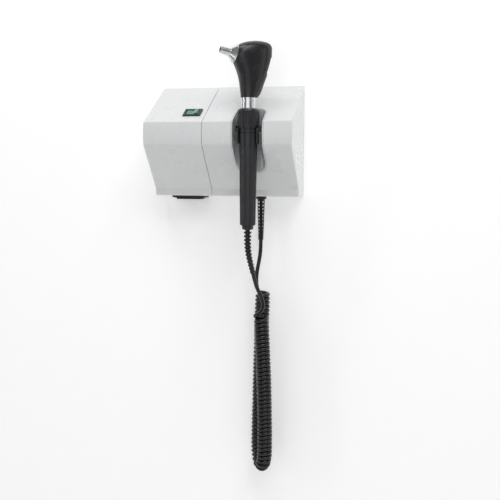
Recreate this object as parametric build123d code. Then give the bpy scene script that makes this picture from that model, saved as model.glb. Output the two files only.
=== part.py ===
"""Wall-mounted otoscope: a two-module wall housing, a cradle, and a corded handle with its head.

Millimetres. +Z is up, the front faces -Y and the wall is the plane Y = 0. The origin is the
centre of the wall plate's wall face. The handle hangs in the cradle, its lowest position.
"""
from build123d import *
import os
from math import atan, cos, degrees, pi, radians, sin, tan

os.makedirs("parts", exist_ok=True)

# ---------------------------------------------------------------- driving dimensions
# housing
HOUSING_WIDTH = 180.0
HOUSING_HEIGHT = 133.0
HOUSING_DEPTH = 71.6        # wall to the nose
CREASE_DROP = 46.0          # top edge down to the nose's upper crease
NOSE_HEIGHT = 27.9
NOSE_BULGE = 1.2            # how far the nose bows out at mid height
LIP_HEIGHT = 8.2
LIP_DEPTH = 29.6
COVER_WALL = 2.5
CREASE_RADIUS = 2.5
NOSE_LOW_RADIUS = 8.0
LIP_RADIUS = 2.5
END_RADIUS = 2.0
SEAM_X = -17.3              # where the two modules meet
SEAM_GAP = 0.5
SEAM_CHAMFER = 0.4
# wall plate
PLATE_THICK = 2.5
PLATE_INSET = 0.4           # plate edge to the cover's inside
PLATE_HOLE_R = 2.5
HOLE_SPAN_X = 140.0
HOLE_SPAN_Z = 88.0
FLANGE_DEPTH = 14.0
# cradle
HANDLE_X = 37.3
HANDLE_Y = -66.0
TROUGH_HALF = 17.8
TROUGH_FLOOR = -47.0
TROUGH_CORNER = 10.0
TROUGH_SKIN = 1.6
FORK_TOP = 12.4             # the seat under the handle's flange
FORK_FLANGE = 3.2
FORK_HEIGHT = 17.4
FORK_WALL = 1.6
FORK_REACH = 5.0            # how far the arms pass the handle's axis
HORN_HEIGHT = 3.1
HORN_WALL = 1.3
# handle
GRIP_R = 10.35
GRIP_END_R = 9.2
GRIP_WALL = 2.6
GRIP_TOP = 6.6
GRIP_BOTTOM = -98.4
FLUTE_START = -10.3
FLUTE_COUNT = 10
FLUTE_R = 2.3
FLUTE_DEPTH = 0.75
PARTING = 0.5
FLANGE_R = 12.2
FLANGE_THICK = 1.3
RING_R = 12.85
RING_TOP = 34.5
RING_RIBS = 30
NECK_R = 8.95
NECK_TOP = 47.5
SPIGOT_R = 6.8
SPIGOT_LENGTH = 10.5
LUG_OUT = 0.65
LUG_ANGLE = 20.0
END_CAP_R = 6.65
END_CAP_LENGTH = 5.7
# head
HEAD_TURN = 35.0            # the nose points this far round from -X towards the front
HEAD_BASE = 47.8
HEAD_WALL = 1.7
NOSE_TILT = 13.0
SEAM_TILT = 9.0
TWIST_RANGE = 25.0
CONE_R = 11.15
TUBE_R = 4.75
TIP_R = 3.85
BORE_R = 3.0
CONE_LENGTH = 6.3
NOSE_LENGTH = 18.0
LENS_FRAME_THICK = 8.4
WINDOW_WIDTH = 19.0
WINDOW_HEIGHT = 23.0
GLASS_THICK = 2.0
# power module
INLET_WIDTH = 41.0
INLET_DEPTH = 24.0
INLET_BODY_WIDTH = 31.0
INLET_BODY_HEIGHT = 24.0
SWITCH_WIDTH = 21.5
SWITCH_DEPTH = 15.2
CORE_WIDTH = 48.0
CORE_HEIGHT = 40.0
CORE_DEPTH = 26.0
BOARD_WIDTH = 30.0
BOARD_HEIGHT = 72.0
# cord
CABLE_D = 4.0
COIL_D = 16.4
BOOT_X = 40.4
BOOT_Y = -14.0
BOOT_LENGTH = 53.0
BOOT_TOP_R = 4.6
BOOT_END_R = 3.1
# clearances
RUN_FIT = 0.05              # radial, turning or sliding fits
SEAT_GAP = 0.15             # between pieces that are fixed together
MOVE_GAP = 0.3              # between bodies that pass each other

# ---------------------------------------------------------------- worked-out places
HALF_W = HOUSING_WIDTH / 2
TOP = HOUSING_HEIGHT / 2
BOTTOM = -TOP
CREASE_Z = TOP - CREASE_DROP
NOSE_LOW_Z = CREASE_Z - NOSE_HEIGHT
LIP_TOP_Z = BOTTOM + LIP_HEIGHT
SLOPE = degrees(atan(CREASE_DROP / HOUSING_DEPTH))
CABLE_R = CABLE_D / 2
BACK_ROOM = 20.0            # the profile runs on behind the wall, then is cut there


# ---------------------------------------------------------------- helpers
def save(shape, name):
    export_step(shape, f"parts/{name}.step")


def block(x0, x1, y0, y1, z0, z1):
    """A box from its six limits."""
    return Pos((x0 + x1) / 2, (y0 + y1) / 2, (z0 + z1) / 2) * Box(x1 - x0, y1 - y0, z1 - z0)


def rod(radius, start, end):
    """A cylinder from one point to another."""
    line = Vector(*end) - Vector(*start)
    base = Plane(origin=start, z_dir=line)
    return base * Cylinder(radius, line.length, align=(Align.CENTER, Align.CENTER, Align.MIN))


def cone(radius, end_radius, start, end):
    line = Vector(*end) - Vector(*start)
    base = Plane(origin=start, z_dir=line)
    return base * Cone(radius, end_radius, line.length, align=(Align.CENTER, Align.CENTER, Align.MIN))


def group(solids):
    """Separate solids in one node."""
    return Compound(children=list(solids))


def sector(r0, r1, z0, z1, angle0, angle1):
    """Part of a ring about Z."""
    face = Plane.XZ * Pos((r0 + r1) / 2, (z0 + z1) / 2) * Rectangle(r1 - r0, z1 - z0)
    return Rot(0, 0, angle0) * revolve(face, Axis.Z, angle1 - angle0)


def lathe(points):
    """A solid turned about Z from (radius, height) points."""
    return revolve(Plane.XZ * make_face(Polyline(*points, close=True)), Axis.Z)


def bent_tube(points, radius, radii):
    """A round tube along straight runs joined by tangent arcs."""
    path = FilletPolyline(*points, radius=radii)
    start = Plane(origin=path @ 0, z_dir=path % 0)
    return sweep(start * Circle(radius), path=path)


def corner_radii(points):
    """The largest neat arc at each inner point: 0.45 of the shorter run over tan of half the turn."""
    radii = []
    for before, here, after in zip(points, points[1:], points[2:]):
        run_in = Vector(*here) - Vector(*before)
        run_out = Vector(*after) - Vector(*here)
        half_turn = radians(run_in.get_angle(run_out)) / 2
        radii.append(0.45 * min(run_in.length, run_out.length) / tan(half_turn))
    return radii


def report_tube(name, points, radii, solid, radius):
    """Print the arcs, and the length that the volume stands for."""
    length = solid.volume / (pi * radius**2)
    print(name, "radii", [round(r, 1) for r in radii], "length", round(length, 1))


# ---------------------------------------------------------------- housing
def housing_profile():
    """The side outline in (Y, Z), run on behind the wall so that its back can be cut square."""
    top_back = (BACK_ROOM, TOP + BACK_ROOM * CREASE_DROP / HOUSING_DEPTH)
    crease = (-HOUSING_DEPTH, CREASE_Z)
    low = (-HOUSING_DEPTH, NOSE_LOW_Z)
    bow = (-HOUSING_DEPTH - NOSE_BULGE, (CREASE_Z + NOSE_LOW_Z) / 2)
    lip = (-LIP_DEPTH, LIP_TOP_Z)
    corner = (-LIP_DEPTH, BOTTOM)
    back = (BACK_ROOM, BOTTOM)
    edges = [
        Line(top_back, crease),
        ThreePointArc(crease, bow, low),
        Line(low, lip),
        Line(lip, corner),
        Line(corner, back),
        Line(back, top_back),
    ]
    face = make_face(Wire(edges))
    by_point = {
        crease: CREASE_RADIUS,
        low: NOSE_LOW_RADIUS,
        lip: LIP_RADIUS,
        corner: LIP_RADIUS,
    }
    for point, radius in by_point.items():
        vertex = min(face.vertices(), key=lambda v: (v.X - point[0]) ** 2 + (v.Y - point[1]) ** 2)
        face = fillet(vertex, radius)
    return face


PROFILE = housing_profile()
INNER_PROFILE = offset(PROFILE, -COVER_WALL, kind=Kind.INTERSECTION)


def prism(face, x0, x1):
    """A (Y, Z) face run from x0 to x1."""
    return extrude(Plane.YZ.offset(x0) * face, x1 - x0)


def trough_plan(grow):
    """The cradle recess in (X, Y), open to the front."""
    half = TROUGH_HALF + grow
    floor = TROUGH_FLOOR + grow
    front = -HOUSING_DEPTH - 20
    face = Pos(HANDLE_X, (floor + front) / 2) * Rectangle(2 * half, floor - front)
    corners = face.vertices().sort_by(Axis.Y)[2:]
    return fillet(corners, TROUGH_CORNER + grow)


def trough(grow):
    return Pos(0, 0, BOTTOM - 10) * extrude(trough_plan(grow), HOUSING_HEIGHT + 20)


def front_half():
    """All the room in front of the wall."""
    return block(-300, 300, -300, 0, -300, 300)


def slope_place(x, y):
    """A plane on the top slope: its x along +X, its z outwards, at the given X and Y."""
    z = TOP + y * CREASE_DROP / HOUSING_DEPTH
    outward = (0, -sin(radians(SLOPE)), cos(radians(SLOPE)))
    return Plane(origin=(x, y, z), x_dir=(1, 0, 0), z_dir=outward)


SWITCH_X = SEAM_X - 16.3
SWITCH_Y = -HOUSING_DEPTH + 17.1
SWITCH_PLACE = slope_place(SWITCH_X, SWITCH_Y)
SWITCH_BODY = (SWITCH_WIDTH - 2.6, SWITCH_DEPTH - 2.6)
INLET_X = (SEAM_X - HALF_W) / 2 + 4.6
INLET_Y = -LIP_DEPTH + 14.1
COVER_SCREW_Y = -9.0
COVER_SCREW_X = [-HALF_W + 11, SEAM_X - 4.5, SEAM_X + 10, HALF_W - 11]
COVER_SCREW_R = 1.5
GROMMET_Y = -22.0
GROMMET_Z = BOTTOM + 34
GROMMET_R = 6.0


def cover_shell(x0, x1, outer_end):
    """One module's cover: walls all round, open to the wall. outer_end is the end with soft edges."""
    outer = prism(PROFILE, x0, x1)
    ends = outer.faces().sort_by(Axis.X)
    soft = ends[0] if outer_end < 0 else ends[-1]
    outer = fillet(soft.outer_wire().edges(), END_RADIUS)
    ends = outer.faces().sort_by(Axis.X)
    seam = ends[-1] if outer_end < 0 else ends[0]
    outer = chamfer(seam.outer_wire().edges(), SEAM_CHAMFER)
    inner = prism(INNER_PROFILE, x0 + COVER_WALL, x1 - COVER_WALL)
    return (outer & front_half()) - inner


def screw_holes(radius):
    """Room for the cover screws through the bottom wall, with their head recesses."""
    holes = []
    for x in COVER_SCREW_X:
        holes.append(rod(radius, (x, COVER_SCREW_Y, BOTTOM - 1), (x, COVER_SCREW_Y, BOTTOM + 12)))
        holes.append(rod(2.9, (x, COVER_SCREW_Y, BOTTOM - 1), (x, COVER_SCREW_Y, BOTTOM + 1.0)))
    return holes


def grommet_hole():
    near = SEAM_X - 8
    return rod(GROMMET_R, (near, GROMMET_Y, GROMMET_Z), (SEAM_X + 8, GROMMET_Y, GROMMET_Z))


def power_cover():
    cover = cover_shell(-HALF_W, SEAM_X - SEAM_GAP / 2, -1)
    cover -= SWITCH_PLACE * Box(SWITCH_BODY[0] + 0.6, SWITCH_BODY[1] + 0.6, 12)
    cover -= Pos(INLET_X, INLET_Y, BOTTOM) * Box(INLET_BODY_WIDTH + 0.6, INLET_DEPTH - 5.4, 12)
    for side in (-1, 1):
        x = INLET_X + side * (INLET_WIDTH / 2 - 2.6)
        cover -= rod(1.15, (x, INLET_Y, BOTTOM - 1), (x, INLET_Y, BOTTOM + 4))
    cover -= grommet_hole()
    return cover - screw_holes(COVER_SCREW_R + 0.2)


def holder_cover():
    cover = cover_shell(SEAM_X + SEAM_GAP / 2, HALF_W, 1)
    cover -= trough(TROUGH_SKIN + SEAT_GAP)
    cover -= grommet_hole()
    cover -= rod(BOOT_TOP_R + 0.4, (BOOT_X, BOOT_Y, BOTTOM - 1), (BOOT_X, BOOT_Y, BOTTOM + 5))
    return cover - screw_holes(COVER_SCREW_R + 0.2)


PLATE_X = HALF_W - COVER_WALL - PLATE_INSET
PLATE_Z0 = BOTTOM + COVER_WALL + PLATE_INSET
PLATE_Z1 = TOP - COVER_WALL / cos(radians(SLOPE)) - PLATE_THICK * tan(radians(SLOPE)) - PLATE_INSET


def wall_plate():
    """A steel tray: back plate, and a bottom flange in two lengths that the cover screws bite into."""
    plate = block(-PLATE_X, PLATE_X, -PLATE_THICK, 0, PLATE_Z0, PLATE_Z1)
    room = COVER_WALL + SEAM_GAP / 2 + PLATE_INSET
    plate -= block(SEAM_X - room, SEAM_X + room, -PLATE_THICK - 1, 1, PLATE_Z0 - 1, TOP)
    bridge = block(SEAM_X - room - 1, SEAM_X + room + 1, -1.2, 0, PLATE_Z0, PLATE_Z1)
    lengths = [
        (-PLATE_X, INLET_X - INLET_BODY_WIDTH / 2 - 1.5),
        (COVER_SCREW_X[1] - 6, SEAM_X - room),
        (SEAM_X + room, BOOT_X - 12),
        (BOOT_X + 12, PLATE_X),
    ]
    for x0, x1 in lengths:
        plate += block(x0, x1, -FLANGE_DEPTH, -PLATE_THICK + 0.1, PLATE_Z0, PLATE_Z0 + 3)
    for x in COVER_SCREW_X:
        plate -= rod(COVER_SCREW_R, (x, COVER_SCREW_Y, PLATE_Z0 - 1), (x, COVER_SCREW_Y, PLATE_Z0 + 4))
    for x in (-HOLE_SPAN_X / 2, HOLE_SPAN_X / 2):
        for z in (-HOLE_SPAN_Z / 2, HOLE_SPAN_Z / 2):
            plate -= rod(PLATE_HOLE_R, (x, 1, z), (x, -PLATE_THICK - 1, z))
    return plate + bridge


def seam_relief(cover):
    """The covers' inner end walls stop short of the plate's bridge, so the plate is one piece."""
    return cover - block(SEAM_X - 4, SEAM_X + 4, -1.2 - SEAT_GAP, 1, PLATE_Z0 - 0.2, PLATE_Z1 + 0.2)


def cover_screws():
    screws = []
    for x in COVER_SCREW_X:
        head = rod(2.7, (x, COVER_SCREW_Y, BOTTOM + 0.1), (x, COVER_SCREW_Y, BOTTOM + 1.0))
        shank = rod(COVER_SCREW_R, (x, COVER_SCREW_Y, BOTTOM + 0.9), (x, COVER_SCREW_Y, PLATE_Z0 + 5))
        slot = Pos(x, COVER_SCREW_Y, BOTTOM - 0.2) * Box(4.4, 0.7, 1.6)
        screws.append(head + shank - slot)
    return group(screws)


FORK_SCREW_Z = [FORK_TOP - 4.4, FORK_TOP - 13.0]


def cradle_insert():
    """The satin liner of the recess: a channel that ends flush with the housing's outline."""
    liner = trough(TROUGH_SKIN) - trough(0)
    liner &= prism(PROFILE, -HALF_W, HALF_W) & front_half()
    for z in FORK_SCREW_Z:
        liner -= rod(1.7, (HANDLE_X, TROUGH_FLOOR - 1, z), (HANDLE_X, TROUGH_FLOOR + 3, z))
    return liner


FORK_BORE = GRIP_R + MOVE_GAP
FORK_FLANGE_HALF = RING_R + 0.25 + HORN_WALL


def fork_plan(half, back):
    """A U in (X, Y) about the handle's axis: half wide, round at the back, arms to the front."""
    arms = Pos(0, -FORK_REACH / 2) * Rectangle(2 * half, FORK_REACH)
    return arms + (Circle(half) & (Pos(0, back / 2) * Rectangle(3 * half, back)))


def cradle_fork():
    """The black fork that holds the handle by its flange."""
    low = FORK_TOP - FORK_HEIGHT
    body = Pos(0, 0, low) * extrude(fork_plan(FORK_BORE + FORK_WALL, 40), FORK_HEIGHT)
    flange = Pos(0, 0, FORK_TOP - FORK_FLANGE) * extrude(fork_plan(FORK_FLANGE_HALF, 40), FORK_FLANGE)
    stem_y = TROUGH_FLOOR - HANDLE_Y
    stem = block(-7, 7, FORK_BORE + 0.5, stem_y, low, FORK_TOP)
    fork = body + flange + stem
    for side in (-1, 1):
        inner = side * (RING_R + 0.25)
        outer = side * FORK_FLANGE_HALF
        x0, x1 = min(inner, outer), max(inner, outer)
        fork += block(x0, x1, -FORK_REACH, 1.0, FORK_TOP - 1, FORK_TOP + HORN_HEIGHT)
    mouth = Rectangle(2 * FORK_BORE, 30, align=(Align.CENTER, Align.MAX)) + Circle(FORK_BORE)
    fork -= Pos(0, 0, low - 1) * extrude(mouth, FORK_HEIGHT + HORN_HEIGHT + 2)
    for z in FORK_SCREW_Z:
        fork -= rod(1.25, (0, stem_y + 1, z), (0, stem_y - 4.2, z))
    return Pos(HANDLE_X, HANDLE_Y, 0) * fork


BRACKET_THICK = 2.0


def cradle_bracket():
    """A steel bracket from the wall plate to the back of the liner."""
    front = TROUGH_FLOOR + TROUGH_SKIN
    z0, z1 = FORK_SCREW_Z[1] - 7, FORK_SCREW_Z[0] + 7
    pad = block(HANDLE_X - 7, HANDLE_X + 7, front, front + BRACKET_THICK, z0, z1)
    bracket = pad
    for side in (-1, 1):
        x = HANDLE_X + side * 6
        bracket += block(x - 1, x + 1, front, -PLATE_THICK, z0, z1)
        foot = (x, x + side * 10)
        bracket += block(min(foot), max(foot), -PLATE_THICK - BRACKET_THICK, -PLATE_THICK, z0, z1)
    for z in FORK_SCREW_Z:
        bracket -= rod(1.7, (HANDLE_X, front - 1, z), (HANDLE_X, front + 4, z))
    return bracket


def fork_screws():
    front = TROUGH_FLOOR + TROUGH_SKIN + BRACKET_THICK
    screws = []
    for z in FORK_SCREW_Z:
        screw = rod(1.25, (HANDLE_X, TROUGH_FLOOR - 4, z), (HANDLE_X, front + 0.1, z))
        screws.append(screw + rod(2.7, (HANDLE_X, front, z), (HANDLE_X, front + 1.8, z)))
    return screws


# ---------------------------------------------------------------- power module
BEZEL_WALL = 1.2
ROCKER_LENGTH = SWITCH_BODY[0] - 3.4
ROCKER_WIDTH = SWITCH_BODY[1] - 3.0
ROCKER_THROW = 20.0
ROCKER_PIVOT_Z = -2.2
ROCKER_END_R = SWITCH_BODY[0] / 2 - BEZEL_WALL - 0.25     # its ends are arcs about the pivot


def switch_bezel():
    frame = Box(SWITCH_WIDTH, SWITCH_DEPTH, 1.8, align=(Align.CENTER, Align.CENTER, Align.MIN))
    frame = fillet(frame.edges().group_by(Axis.Z)[-1], 0.6)
    depth = 15.0
    body = Pos(0, 0, -depth / 2) * Box(SWITCH_BODY[0], SWITCH_BODY[1], depth)
    well = Box(SWITCH_BODY[0] - 2 * BEZEL_WALL, SWITCH_BODY[1] - 2 * BEZEL_WALL, 17.4)
    shape = frame + body - Pos(0, 0, -3) * well
    shape -= Pos(0, 0, ROCKER_PIVOT_Z) * Rot(90, 0, 0) * Cylinder(0.8, SWITCH_BODY[1] - 0.8)
    return SWITCH_PLACE * shape


def rocker():
    """The rocker, left end pressed: two faces that meet at a shallow V over the pivot."""
    half = ROCKER_LENGTH / 2
    lift = half * tan(radians(ROCKER_THROW))
    outline = [
        (-half, ROCKER_PIVOT_Z + 3.6),
        (0, ROCKER_PIVOT_Z + 3.3),
        (half, ROCKER_PIVOT_Z + 3.6 + lift),
        (half, ROCKER_PIVOT_Z + 0.6 + lift * 0.35),
        (half * 0.45, ROCKER_PIVOT_Z - 2.2),
        (-half * 0.45, ROCKER_PIVOT_Z - 2.2),
        (-half, ROCKER_PIVOT_Z + 0.6),
    ]
    face = Plane.XZ * make_face(Polyline(*outline, close=True))
    body = extrude(face, ROCKER_WIDTH / 2, both=True)
    pivot = Pos(0, 0, ROCKER_PIVOT_Z) * Rot(90, 0, 0)
    body &= pivot * Cylinder(ROCKER_END_R, 40)
    return SWITCH_PLACE * (body - pivot * Cylinder(0.8 + RUN_FIT, 40))


def rocker_pin():
    pin = Pos(0, 0, ROCKER_PIVOT_Z) * Rot(90, 0, 0) * Cylinder(0.8, SWITCH_BODY[1] - 0.8)
    return SWITCH_PLACE * pin


def switch_terminals():
    blades = []
    for x in (-6, 0, 6):
        blades.append(SWITCH_PLACE * Pos(x, 0, -15 - 3.5) * Box(0.8, 4.8, 7))
    return group(blades)


INLET_PINS = (-7.0, 0.0, 7.0)
INLET_FLANGE = 2.2
INLET_STEP = 2.0


def mains_inlet():
    """A panel inlet that faces down: flange, body, and the recess that a mains plug enters."""
    flange_shape = Pos(0, 0, -INLET_FLANGE / 2) * Box(INLET_WIDTH, INLET_DEPTH, INLET_FLANGE)
    flange_shape = fillet(flange_shape.edges().filter_by(Axis.Z), 3.0)
    depth = INLET_DEPTH - 6
    body = Pos(0, 0, INLET_BODY_HEIGHT / 2) * Box(INLET_BODY_WIDTH, depth, INLET_BODY_HEIGHT)
    nose = Pos(0, 0, -INLET_FLANGE - INLET_STEP / 2) * Box(INLET_BODY_WIDTH, depth, INLET_STEP + 0.2)
    nose = fillet(nose.edges().filter_by(Axis.Z), 2.0)
    recess = Pos(0, 0, 5) * Box(24.6, depth - 2, 2 * (INLET_FLANGE + INLET_STEP) + 22)
    shape = flange_shape + body + nose - recess
    for side in (-1, 1):
        shape -= Pos(side * (INLET_WIDTH / 2 - 2.6), 0, 0) * Cylinder(1.25, 10)
    for x in INLET_PINS:
        shape -= Pos(x, 0, 20) * Box(4.0, 2.0, 14)
    return Pos(INLET_X, INLET_Y, BOTTOM) * shape



def inlet_pins():
    blades = []
    for x in INLET_PINS:
        blades.append(Pos(INLET_X + x, INLET_Y, BOTTOM + 14.5) * Box(4.0, 2.0, 27))
    return group(blades)


def inlet_screws():
    screws = []
    for side in (-1, 1):
        x = INLET_X + side * (INLET_WIDTH / 2 - 2.6)
        z = BOTTOM - INLET_FLANGE
        head = rod(2.1, (x, INLET_Y, z - 1.2), (x, INLET_Y, z))
        screws.append(head + rod(1.1, (x, INLET_Y, z - 0.1), (x, INLET_Y, BOTTOM + 6)))
    return group(screws)


CORE_X = INLET_X - 9.5
CORE_Z = 8.0
CORE_Y = -PLATE_THICK - 2.2 - CORE_DEPTH / 2
WINDOW = 9.0                # the core's window width


def transformer_core():
    core = Pos(CORE_X, CORE_Y, CORE_Z) * Box(CORE_WIDTH, CORE_DEPTH, CORE_HEIGHT)
    for side in (-1, 1):
        x = CORE_X + side * (CORE_WIDTH / 4 - 0.5)
        core -= Pos(x, CORE_Y, CORE_Z) * Box(WINDOW, CORE_DEPTH + 2, CORE_HEIGHT - 16)
    for sx in (-1, 1):
        for sz in (-1, 1):
            x, z = CORE_X + sx * (CORE_WIDTH / 2 - 4), CORE_Z + sz * (CORE_HEIGHT / 2 - 4)
            core -= rod(1.7, (x, 0, z), (x, -60, z))
    return core


LIMB = CORE_WIDTH / 2 - 1 - WINDOW      # the centre limb's width
WINDOW_H = CORE_HEIGHT - 16


def transformer_bobbin():
    height = WINDOW_H - 0.4
    tube = Box(LIMB + 2.4, CORE_DEPTH + 2.4, height)
    for side in (-1, 1):
        cheek = Box(LIMB + 2 * WINDOW - 1.0, CORE_DEPTH + 12, 1.2)
        tube += Pos(0, 0, side * (height / 2 - 0.6)) * cheek
    tube -= Box(LIMB + 0.2, CORE_DEPTH + 0.2, height + 2)
    tube -= Pos(0, CORE_DEPTH / 2 + 5, 0) * Box(100, 7.0, 100)
    return Pos(CORE_X, CORE_Y, CORE_Z) * tube


def transformer_winding():
    height = WINDOW_H - 0.4 - 2.6
    coil = Box(LIMB + 2 * WINDOW - 3.0, CORE_DEPTH + 10, height)
    coil -= Box(LIMB + 2.6, CORE_DEPTH + 2.6, height + 2)
    coil -= Pos(0, CORE_DEPTH / 2 + 5, 0) * Box(100, 7.0, 100)
    return Pos(CORE_X, CORE_Y, CORE_Z) * coil


def transformer_posts():
    posts = []
    for sx in (-1, 1):
        for sz in (-1, 1):
            x, z = CORE_X + sx * (CORE_WIDTH / 2 - 4), CORE_Z + sz * (CORE_HEIGHT / 2 - 4)
            post = rod(3.6, (x, -PLATE_THICK, z), (x, -PLATE_THICK - 2.2, z))
            posts.append(post - rod(1.3, (x, 0, z), (x, -10, z)))
    return posts


def transformer_screws():
    screws = []
    front = CORE_Y - CORE_DEPTH / 2
    for sx in (-1, 1):
        for sz in (-1, 1):
            x, z = CORE_X + sx * (CORE_WIDTH / 2 - 4), CORE_Z + sz * (CORE_HEIGHT / 2 - 4)
            head = rod(2.8, (x, front, z), (x, front - 2, z))
            screws.append(head + rod(1.3, (x, front + 0.1, z), (x, -PLATE_THICK, z)))
    return screws


# ---------------------------------------------------------------- circuit board
BOARD_X = SEAM_X + COVER_WALL + 3 + BOARD_WIDTH / 2
BOARD_Z = 4.0
BOARD_BACK = -PLATE_THICK - 5.0
BOARD_THICK = 1.6
BOARD_FRONT = BOARD_BACK - BOARD_THICK


def board_corners():
    for sx in (-1, 1):
        for sz in (-1, 1):
            yield BOARD_X + sx * (BOARD_WIDTH / 2 - 4), BOARD_Z + sz * (BOARD_HEIGHT / 2 - 4)


def circuit_board():
    board = block(BOARD_X - BOARD_WIDTH / 2, BOARD_X + BOARD_WIDTH / 2, BOARD_FRONT, BOARD_BACK,
                  BOARD_Z - BOARD_HEIGHT / 2, BOARD_Z + BOARD_HEIGHT / 2)
    for x, z in board_corners():
        board -= rod(1.6, (x, 0, z), (x, -20, z))
    return board


def board_posts():
    posts = []
    for x, z in board_corners():
        post = rod(3.0, (x, -PLATE_THICK, z), (x, BOARD_BACK, z))
        posts.append(post - rod(1.2, (x, 0, z), (x, -20, z)))
    return posts


def board_screws():
    screws = []
    for x, z in board_corners():
        head = rod(2.6, (x, BOARD_FRONT, z), (x, BOARD_FRONT - 1.8, z))
        screws.append(head + rod(1.2, (x, BOARD_FRONT + 0.1, z), (x, -PLATE_THICK - 0.5, z)))
    return screws


CAP_X = BOARD_X
SINK_Z = BOARD_Z + 16


def filter_capacitor():
    z = BOARD_Z - 9
    body = rod(6.0, (CAP_X, BOARD_FRONT, z), (CAP_X, BOARD_FRONT - 20, z))
    return fillet(body.edges().filter_by(GeomType.CIRCLE), 0.6)


def heat_sink():
    """A finned plate that stands on the board."""
    x, y = CAP_X, BOARD_FRONT
    sink = block(x - 11, x + 11, y - 16, y, SINK_Z - 1, SINK_Z + 1)
    for n in range(5):
        fin = x - 10 + n * 5
        sink += block(fin - 0.5, fin + 0.5, y - 16, y, SINK_Z + 0.9, SINK_Z + 6)
    return sink


def voltage_regulator():
    x, y = CAP_X, BOARD_FRONT
    body = block(x - 5, x + 5, y - 12, y - 3, SINK_Z - 5.4, SINK_Z - 1)
    for n in (-1, 0, 1):
        body += block(x + n * 2.5 - 0.4, x + n * 2.5 + 0.4, y - 3.1, y, SINK_Z - 3.6, SINK_Z - 2.8)
    return body


def bridge_rectifier():
    x, y = CAP_X, BOARD_FRONT
    return block(x - 6, x + 6, y - 7, y, BOARD_Z, BOARD_Z + 7)


TERMINAL_X = BOARD_X + 3
TERMINAL_Z = BOARD_Z - 22


def terminal_block():
    y = BOARD_FRONT
    body = block(TERMINAL_X - 8, TERMINAL_X + 8, y - 10, y, TERMINAL_Z - 5, TERMINAL_Z + 5)
    for n in (-1, 1):
        x = TERMINAL_X + n * 4
        body -= rod(1.4, (x, y - 6, TERMINAL_Z - 6), (x, y - 6, TERMINAL_Z))
    return body


def wire_grommet():
    """The bush that lines the wire hole through both modules' inner walls."""
    length = COVER_WALL + SEAM_GAP / 2
    near, far = SEAM_X - length, SEAM_X + length
    bush = rod(GROMMET_R - 0.1, (near, GROMMET_Y, GROMMET_Z), (far, GROMMET_Y, GROMMET_Z))
    for side in (-1, 1):
        x = SEAM_X + side * length
        bush += rod(GROMMET_R + 1.6, (x, GROMMET_Y, GROMMET_Z), (x + side * 1.2, GROMMET_Y, GROMMET_Z))
    reach = length + 3
    return bush - rod(3.4, (SEAM_X - reach, GROMMET_Y, GROMMET_Z), (SEAM_X + reach, GROMMET_Y, GROMMET_Z))


def power_wires():
    """Two insulated wires from the inlet, up beside the transformer, to the switch."""
    lane_x = CORE_X + CORE_WIDTH / 2 + 4.5
    out = SWITCH_PLACE.z_dir
    switch = SWITCH_PLACE.origin - out * 22.0
    wires = []
    for pin, blade in ((-7, -6), (7, 6)):
        x = lane_x + blade * 0.35
        points = [
            (INLET_X + pin, INLET_Y, BOTTOM + 28),
            (INLET_X + pin, INLET_Y, BOTTOM + 36),
            (x, INLET_Y - 5, CORE_Z - CORE_HEIGHT / 2 - 6),
            (x, CORE_Y - CORE_DEPTH / 2 - 7, CORE_Z - 10),
            (switch.X + blade, switch.Y - out.Y * 7, switch.Z - out.Z * 7),
            (switch.X + blade, switch.Y, switch.Z),
        ]
        wires.append(bent_tube(points, 0.9, 3.0))
    return group(wires)


def supply_wires():
    """The low-voltage pair from the transformer through the grommet to the board."""
    wires = []
    winding_front = CORE_Y - CORE_DEPTH / 2 - 5
    for n in (-1, 1):
        start_x = CORE_X + 10.5 + n * 1.6
        end_x = BOARD_X - 8 + n * 1.5
        points = [
            (start_x, winding_front, CORE_Z - 3),
            (start_x, winding_front - 4, CORE_Z - 3),
            (start_x, winding_front - 4, CORE_Z - CORE_HEIGHT / 2 - 10),
            (SEAM_X - 8, GROMMET_Y, GROMMET_Z + n * 1.6),
            (SEAM_X + 8, GROMMET_Y, GROMMET_Z + n * 1.6),
            (end_x, BOARD_FRONT - 8, TERMINAL_Z - 2),
            (end_x, BOARD_FRONT, TERMINAL_Z - 2),
        ]
        wires.append(bent_tube(points, 0.9, 1.8))
    return group(wires)


# ---------------------------------------------------------------- cord exit
GLAND_FLANGE_R = 6.5
GLAND_FLANGE = 3.4
SLOT_ROWS = 10
SLOT_PITCH = 4.2
SLOT_HIGH = 2.0
SLOT_WEB = 1.4


def wall_boot():
    """The slotted, tapered strain relief under the housing."""
    top = BOTTOM
    end = top - BOOT_LENGTH
    axis = (BOOT_X, BOOT_Y)
    boot = rod(GLAND_FLANGE_R, (*axis, top - GLAND_FLANGE), (*axis, top))
    boot = chamfer(boot.edges().group_by(Axis.Z)[0], 0.8)
    boot += cone(BOOT_TOP_R, BOOT_END_R, (*axis, top - GLAND_FLANGE + 0.1), (*axis, end))
    boot += rod(BOOT_TOP_R, (*axis, top - 0.1), (*axis, top + COVER_WALL + 3))
    boot -= rod(CABLE_R + RUN_FIT, (*axis, end - 1), (*axis, top + COVER_WALL + 4))
    top_z = top - GLAND_FLANGE - 3.6
    for n in range(SLOT_ROWS):
        z = top_z - n * SLOT_PITCH
        share = (top - z) / BOOT_LENGTH
        radius = BOOT_TOP_R + (BOOT_END_R - BOOT_TOP_R) * share
        for side in (-1, 1):
            near, far = side * SLOT_WEB / 2, side * (radius - 0.75)
            boot -= block(BOOT_X + min(near, far), BOOT_X + max(near, far), BOOT_Y - 9, BOOT_Y + 9,
                          z - SLOT_HIGH / 2, z + SLOT_HIGH / 2)
    return boot


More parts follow.
